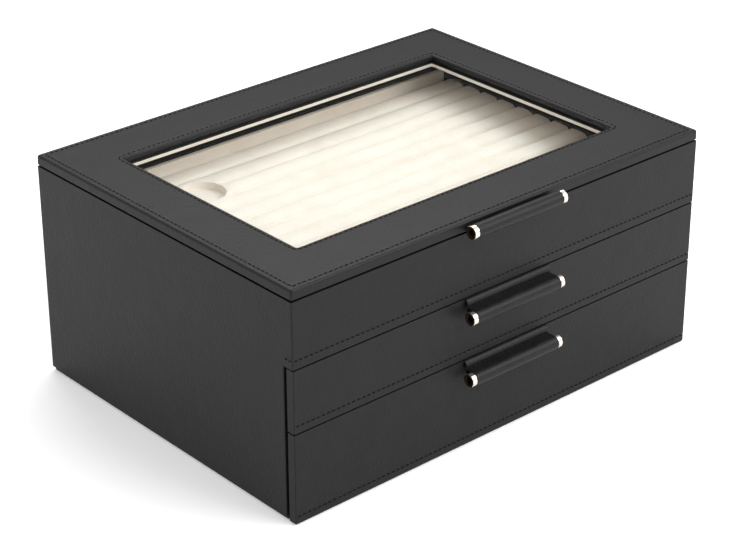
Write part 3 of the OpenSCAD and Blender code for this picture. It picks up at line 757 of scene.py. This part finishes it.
def curved(points, step=0.35 * MM):
    """A smooth line through points, cut into short steps."""
    pts = [Vector(p) for p in points]
    pts = [pts[0] * 2 - pts[1]] + pts + [pts[-1] * 2 - pts[-2]]
    out = []
    for a, b, c, d in zip(pts, pts[1:], pts[2:], pts[3:]):
        n = max(2, round((c - b).length / step))
        for i in range(n):
            t = i / n
            out.append(0.5 * (2 * b + (c - a) * t + (2 * a - 5 * b + 4 * c - d) * t * t
                              + (3 * b - a - 3 * c + d) * t ** 3))
    return out + [pts[-2]]


def ribbon(name, path, half_width, thickness, material):
    """A strip of leather along a path in the YZ plane, as wide as 2 half_width, with its cut edges eased."""
    path = [Vector(p) for p in path]
    sides = []
    for i, p in enumerate(path):
        along = (path[min(i + 1, len(path) - 1)] - path[max(i - 1, 0)]).normalized()
        sides.append(Vector((-along.y, along.x)))
    loops = []
    ease = 0.22 * MM
    for x, cut in ((-half_width, ease), (-half_width + ease * 0.3, ease * 0.3), (-half_width + ease, 0),
                   (-half_width / 3, 0), (half_width / 3, 0),
                   (half_width - ease, 0), (half_width - ease * 0.3, ease * 0.3), (half_width, ease)):
        h = thickness / 2 - cut
        outline = [p + s * h for p, s in zip(path, sides)] + [p - s * h for p, s in zip(path, sides)][::-1]
        loops.append([(x, q.x, q.y) for q in outline])
    verts, faces = bridged(loops)
    n, m = len(path), len(loops[0])
    for row, flip in ((0, False), (len(loops) - 1, True)):
        start = row * m
        for i in range(n - 1):
            quad = (start + i, start + i + 1, start + m - 2 - i, start + m - 1 - i)
            faces.append(quad if flip else quad[::-1])
    obj = mesh_object(name, verts, faces, material)
    outward(obj)
    return smooth(obj, 50)


def pull_tube(name, body, node):
    """A nickel-plated tube with an eased collar at both open ends."""
    lo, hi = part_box(node)
    cy, cz = (lo.y + hi.y) / 2, (lo.z + hi.z) / 2
    collar = TUBE_HALF - STRAP_WIDTH / 2 - 0.1 * MM
    ease = 0.25 * MM
    profile = [(-TUBE_HALF + 6 * MM, TUBE_BORE), (-TUBE_HALF + ease, TUBE_BORE)]
    profile += [(-TUBE_HALF + ease - ease * math.sin(a), TUBE_BORE + ease - ease * math.cos(a))
                for a in (math.radians(30), math.radians(60), math.radians(90))]
    profile += [(-TUBE_HALF + ease - ease * math.cos(a), TUBE_R - ease + ease * math.sin(a))
                for a in (0, math.radians(30), math.radians(60), math.radians(90))]
    profile += [(-TUBE_HALF + collar, TUBE_R), (-TUBE_HALF + collar, TUBE_CORE)]
    profile += [(-x, r) for x, r in profile[::-1]]
    steps = 48
    loops = []
    for i in range(steps):
        a = 2 * math.pi * i / steps
        loops.append([(x, cy + r * math.cos(a), cz + r * math.sin(a)) for x, r in profile])
    verts, faces = bridged(loops, closed=True)
    obj = mesh_object(name, verts, faces, NICKEL)
    obj.data.materials.append(TUBE_END_SHADE)
    outward(obj)
    # The bore and the end faces get the dark brass, which paints the shade inside the hollow ends.
    for polygon in obj.data.polygons:
        c = polygon.center
        from_middle = math.hypot(c.y - cy, c.z - cz)
        at_end = abs(c.x) > TUBE_HALF - 0.1 * MM
        if from_middle < TUBE_BORE + ease or (at_end and from_middle < TUBE_R - ease):
            polygon.material_index = 1
    return finished(smooth(obj, 60), body, "nickel", node)


def drawer_pull(kind, body):
    """The strap comes over the top of the drawer front, is sewn to itself and goes round the tube."""
    front_lo, front_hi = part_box(kind + "_front_leather")
    tube_lo, tube_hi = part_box(kind + "_pull_tube")
    strap_lo, strap_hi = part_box(kind + "_pull_strap")
    tube = ((tube_lo.y + tube_hi.y) / 2, (tube_lo.z + tube_hi.z) / 2)
    half = STRAP_T / 2
    face, top, back = front_lo.y, front_hi.z, front_hi.y
    wrap = TUBE_CORE + half + 0.08 * MM
    tail = [(back + half, strap_lo.z + 3 * MM), (back + half, top - 5 * MM), (back + half, top - 2 * MM)]
    over = [(back + 0.1 * MM, top - 0.55 * MM), (back - 1.2 * MM, top - 0.3 * MM),
            (face + 1.4 * MM, top - 0.25 * MM)]
    fold = [(face - 0.3 * MM, top - 0.35 * MM), (face - 1.25 * MM, top - 1.1 * MM),
            (face - 1.75 * MM, top - 2.2 * MM), (face - 1.75 * MM, top - 3.3 * MM),
            (face - 1.45 * MM, top - 4.0 * MM)]
    neck = [(face - 1.75 * MM, top - 4.5 * MM), (face - 3.2 * MM, tube[1] + wrap)]
    rounds = arc(tube, wrap, 97, 338, 26)
    ending = [(face - 1.9 * MM, top - 6.4 * MM), (face - 0.95 * MM, top - 4.9 * MM),
              (face - 0.55 * MM, top - 3.4 * MM)]
    path = curved(tail + over + fold + neck + rounds + ending)
    obj = ribbon(kind + "_strap", path, STRAP_WIDTH / 2, STRAP_T, STRAP_LEATHER)
    finished(obj, body, "black_leather", kind + "_pull_strap")
    y, z = neck[0][0] - half * 0.7 + 0.1 * MM, neck[0][1] + half * 0.7
    inset = STRAP_WIDTH / 2 - 1.8 * MM
    stitches(kind + "_strap_stitches", [[(-inset, y, z), (inset, y, z)]], body)
    pull_tube(kind + "_tube", body, kind + "_pull_tube")


def lid_pull():
    """The strap comes out under the lid's front rail and goes round the tube from below."""
    tube_lo, tube_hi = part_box("lid_pull_tube")
    strap_lo, strap_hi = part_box("lid_pull_strap")
    tube = ((tube_lo.y + tube_hi.y) / 2, (tube_lo.z + tube_hi.z) / 2)
    half = STRAP_T / 2
    face = LID_LO.y
    z = LID_LO.z + 0.1 * MM + half
    wrap = TUBE_CORE + half + 0.08 * MM
    tail = [(strap_hi.y - 0.5 * MM, z), (face + 6 * MM, z), (face + 2 * MM, z),
            (face - 0.4 * MM, z - 0.05 * MM)]
    rounds = arc(tube, wrap, -22, -338, 34)
    ending = [(face - 1.35 * MM, z + 1.35 * MM), (face - 0.7 * MM, z + 1.2 * MM)]
    path = curved(tail + rounds + ending)
    obj = ribbon("lid_strap", path, STRAP_WIDTH / 2, STRAP_T, STRAP_LEATHER)
    finished(obj, "lid", "black_leather", "lid_pull_strap")
    pull_tube("lid_tube", "lid", "lid_pull_tube")


# Velvet

def ring_tray():
    """The tray's floor and its front and back walls, velvet over board with soft upper edges."""
    lo, hi = TRAY_LO, TRAY_HI
    floor = PAD_LO.z
    soft, heel = 0.7 * MM, 0.8 * MM

    outline = [(lo.y, lo.z), (hi.y, lo.z)]
    outline += arc((hi.y - soft, hi.z - soft), soft, 0, 90, 4)
    outline += arc((hi.y - TRAY_WALL + soft, hi.z - soft), soft, 90, 180, 4)
    outline += arc((hi.y - TRAY_WALL - heel, floor + heel), heel, 360, 270, 4)
    outline += arc((lo.y + TRAY_WALL + heel, floor + heel), heel, 270, 180, 4)
    outline += arc((lo.y + TRAY_WALL - soft, hi.z - soft), soft, 0, 90, 4)
    outline += arc((lo.y + soft, hi.z - soft), soft, 90, 180, 4)
    stations = np.linspace(lo.x, hi.x, 9)
    verts, faces = bridged([[(x, y, z) for y, z in outline] for x in stations], caps=True)
    obj = mesh_object("velvet_ring_tray", verts, faces, VELVET)
    outward(obj)
    return finished(smooth(obj, 50), "case", "cream_velvet", "ring_tray")


ROLL_PITCH = 14.6 * MM
GROOVE_DEPTH = 3.6 * MM
ROLL_END = 1.5 * MM
FINGER_RADIUS = 13 * MM
FINGER_COLLAR = 4 * MM
FINGER_AT = (-76 * MM, 52 * MM)


def roll_height(across, pitch):
    """Height of a ring roll below its crest, at a place across the row: a round crown and a narrow groove."""
    s = abs(((across / pitch) % 1) - 0.5) * 2
    crown = 1.12 * (1 - math.sqrt(max(0.0, 1 - (s * 0.88) ** 2)))
    pinch = 0.42 * max(0.0, (s - 0.8) / 0.2) ** 1.6
    return GROOVE_DEPTH * min(1.0, crown + pinch)


def ring_pad(name, node, body, hole=None):
    """A pad of foam rolls covered in velvet: crowned rolls, deep narrow grooves and tucked ends."""
    lo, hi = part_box(node)
    count = math.floor((hi.y - lo.y) / ROLL_PITCH + 0.001)
    pitch = (hi.y - lo.y) / count
    per_roll = 14
    ys = []
    for i in range(count):
        for k in range(per_roll):
            u = k / per_roll
            eased = u + 0.06 * math.sin(4 * math.pi * u) / 2
            ys.append(lo.y + (i + min(max(eased, 0), 1)) * pitch)
    ys.append(hi.y)
    ends = [0, 0.1, 0.3, 0.6, 1.0, 1.5, 2.5, 4.0]
    left = [lo.x + e * MM for e in ends]
    right = [hi.x - e * MM for e in ends[::-1]]
    spread = list(np.linspace(left[-1], right[0], 150))[1:-1]
    xs = left + spread + right

    def height(x, y):
        z = hi.z - roll_height(y - lo.y, pitch)
        z += 0.12 * MM * math.sin(x / (23 * MM) + 1.7 * math.floor((y - lo.y) / pitch))
        side = min(x - lo.x, hi.x - x)
        if side < ROLL_END:
            z = min(z, hi.z - ROLL_END * (1 - math.sqrt(max(0.0, 1 - (1 - side / ROLL_END) ** 2))))
        if hole:
            d = math.hypot(x - hole[0], y - hole[1]) - FINGER_RADIUS
            if d < FINGER_COLLAR:
                lip = max(0.0, 1 - max(0.0, d) / (1.2 * MM))
                flat = hi.z - 0.4 * MM - 0.5 * MM * lip ** 2
                blend = min(1, max(0, d / FINGER_COLLAR)) ** 2
                z = flat * (1 - blend) + z * blend
        return max(z, lo.z + 0.2 * MM)

    verts, faces, index = [], [], {}
    for i, x in enumerate(xs):
        for j, y in enumerate(ys):
            index[i, j] = len(verts)
            verts.append((x, y, height(x, y)))
    for i in range(len(xs) - 1):
        for j in range(len(ys) - 1):
            faces.append((index[i, j], index[i + 1, j], index[i + 1, j + 1], index[i, j + 1]))
    # Walls down to the floor and a bottom
    last_x, last_y = len(xs) - 1, len(ys) - 1
    rim = [index[i, 0] for i in range(last_x)]
    rim += [index[last_x, j] for j in range(last_y)]
    rim += [index[i, last_y] for i in range(last_x, 0, -1)]
    rim += [index[0, j] for j in range(last_y, 0, -1)]
    base = []
    for k in rim:
        base.append(len(verts))
        verts.append((verts[k][0], verts[k][1], lo.z))
    for k in range(len(rim)):
        n = (k + 1) % len(rim)
        faces.append((rim[n], rim[k], base[k], base[n]))
    faces.append(tuple(base[::-1]))
    obj = mesh_object(name, verts, faces, VELVET)
    if hole:
        obj = with_hole(obj, hole, lo.z, hi.z)
    smooth(obj, 60)
    return finished(obj, body, "cream_velvet", node)


def with_hole(obj, at, z0, z1):
    """Cuts a round finger hole through a pad."""
    turns = [2 * math.pi * i / 64 for i in range(64)]
    circle = [(at[0] + FINGER_RADIUS * math.cos(a), at[1] + FINGER_RADIUS * math.sin(a)) for a in turns]
    verts, faces = bridged([[(x, y, z) for x, y in circle] for z in (z0 - 2 * MM, z1 + 3 * MM)], caps=True)
    return cut_away(obj, [mesh_object("cutter", verts, faces, VELVET)])


def soft_board(name, node, body, radius):
    """Velvet glued over a board: the node's own shape, with the outer edges that the pile makes soft."""
    bm = bmesh.new()
    bm.from_mesh(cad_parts[node].data)
    bmesh.ops.remove_doubles(bm, verts=bm.verts, dist=0.001 * MM)
    bmesh.ops.dissolve_limit(bm, angle_limit=math.radians(1), verts=bm.verts, edges=bm.edges)
    bm.normal_update()
    outer = [e for e in bm.edges if len(e.link_faces) == 2 and e.is_convex
             and e.calc_face_angle(0) > math.radians(60)]
    bmesh.ops.bevel(bm, geom=outer, offset=radius, segments=3, profile=0.5, affect="EDGES",
                    clamp_overlap=True)
    obj = from_bmesh(name, bm, VELVET)
    return finished(smooth(obj, 50), body, "cream_velvet", node)


# CAD nodes that keep their shape

def dress(names, material):
    for name in names:
        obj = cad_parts[name]
        obj.data.materials.clear()
        obj.data.materials.append(material)


def dress_all():
    nodes = list(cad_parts)
    dress([n for n in nodes if "hinge" in n], HINGE_METAL)
    dress([n for n in nodes if n.startswith(("ring_drawer_", "deep_drawer_"))
           and n.endswith(("box_front", "sides", "back", "bottom", "board"))], PAPER)
    dress([n for n in nodes if n.endswith(("board", "shelf", "rail", "stop"))], PAPER)
    dress(["base_felt"], FELT)


# Camera and light

FRAME_W = 737
FOCAL_PX = 2234.9
SENSOR = 36.0
ROOM_LIGHT = 1.0
DARK_CORNER = (0.585, 0.672, 0.454)
CORNER_LIGHT = 0.04
# Cosines of the angles from the dark corner's middle at which it starts to darken and is darkest
CORNER_STARTS = 0.72
CORNER_ENDS = 0.93


def camera():
    """Stands where the photograph was taken from, as fitted to the box's edges."""
    data = bpy.data.cameras.new("camera")
    data.sensor_width = SENSOR
    data.lens = FOCAL_PX / FRAME_W * SENSOR
    data.clip_start, data.clip_end = 0.05, 100
    cam = bpy.data.objects.new("camera", data)
    scene.collection.objects.link(cam)
    yaw, pitch, roll = (math.radians(a) for a in (41.33, 26.96, -0.20))
    cam.matrix_world = (Matrix.Translation(Vector((-736.86, -835.65, 617.23)) * MM)
                        @ Matrix.Rotation(-yaw, 4, "Z") @ Matrix.Rotation(math.pi / 2 - pitch, 4, "X")
                        @ Matrix.Rotation(roll, 4, "Z"))
    scene.camera = cam


def lamp(name, at, aim, size, watts, colour="#ffffff"):
    data = bpy.data.lights.new(name, "AREA")
    data.shape = "RECTANGLE"
    data.size, data.size_y = size
    data.energy = watts
    data.color = linear(colour)[:3]
    obj = bpy.data.objects.new(name, data)
    scene.collection.objects.link(obj)
    obj.location = at
    obj.rotation_euler = (Vector(aim) - Vector(at)).to_track_quat("-Z", "Y").to_euler()


def white_room():
    """A white room with one dark corner, high up behind the box, so that the window glass doesn't mirror a
    white wall. The corner isn't seen as such, only in what it leaves dark."""
    world = bpy.data.worlds.new("room")
    world.use_nodes = True
    world.node_tree.nodes.clear()
    where = add(world, "ShaderNodeTexCoord").outputs["Generated"]
    towards = add(world, "ShaderNodeVectorMath", {"operation": "DOT_PRODUCT", 1: DARK_CORNER}, _0=where)
    levels = {1: CORNER_STARTS, 2: CORNER_ENDS, 3: ROOM_LIGHT, 4: CORNER_LIGHT}
    fall = add(world, "ShaderNodeMapRange", levels, _0=towards.outputs["Value"])
    path = add(world, "ShaderNodeLightPath")
    level = add(world, "ShaderNodeMath", {"operation": "MAXIMUM"}, _0=fall.outputs[0],
                _1=path.outputs["Is Camera Ray"])
    walls = add(world, "ShaderNodeBackground", {"Color": (1, 1, 1, 1)}, Strength=level.outputs[0])
    add(world, "ShaderNodeOutputWorld", Surface=walls.outputs[0])
    return world


def studio():
    """A white floor that stays white to the eye, a white room and two large soft lamps."""
    reach = 14
    verts = [(x, y, 0) for x, y in ((-reach, -reach), (reach, -reach), (reach, reach), (-reach, reach))]
    floor = mesh_object("floor", verts, [(0, 1, 2, 3)], bpy.data.materials.new("unused"))
    m = new_material("White studio floor")
    path = add(m, "ShaderNodeLightPath")
    seen = add(m, "ShaderNodeMath", {"operation": "ADD", "use_clamp": True},
               _0=path.outputs["Is Camera Ray"], _1=path.outputs["Is Glossy Ray"]).outputs[0]
    seen = add(m, "ShaderNodeMath", {"operation": "ADD", "use_clamp": True},
               _0=seen, _1=path.outputs["Is Transmission Ray"]).outputs[0]
    lift = add(m, "ShaderNodeMath", {"operation": "MULTIPLY", 1: 0.2}, _0=seen).outputs[0]
    lit = add(m, "ShaderNodeBsdfDiffuse", {"Color": (0.87, 0.87, 0.87, 1)})
    glow = add(m, "ShaderNodeEmission", {"Color": (1, 1, 1, 1)}, Strength=lift)
    both = add(m, "ShaderNodeAddShader", _0=lit.outputs[0], _1=glow.outputs[0])
    floor.data.materials.clear()
    floor.data.materials.append(shine(m, both.outputs[0]))
    scene.world = white_room()
    lamp("key", (0.7, -1.2, 1.2), (0, 0, 0.1), (1.3, 1.0), 23)
    lamp("behind", (0.6, 0.85, 1.3), (0, 0, 0.1), (1.3, 0.9), 17)


# Making

camera()
studio()
lid_cover()
lid_stitches()
lid_lining()
window_glass()
lid_pull()
case_cover()
fascia_stitches()
for drawer in ("ring_drawer", "deep_drawer"):
    front_cover(drawer + "_front_cover", drawer, drawer + "_front_leather")
    drawer_pull(drawer, drawer)
ring_tray()
ring_pad("tray_ring_rolls", "tray_ring_pad", "case", FINGER_AT)
ring_pad("drawer_ring_rolls", "ring_drawer_pad", "ring_drawer")
soft_board("ring_drawer_velvet", "ring_drawer_lining", "ring_drawer", 0.4 * MM)
soft_board("deep_drawer_velvet", "deep_drawer_lining", "deep_drawer", 0.4 * MM)
soft_board("long_divider", "deep_drawer_long_divider", "deep_drawer", 0.9 * MM)
soft_board("cross_dividers", "deep_drawer_cross_dividers", "deep_drawer", 0.9 * MM)
dress_all()

scene.view_settings.view_transform = "Standard"
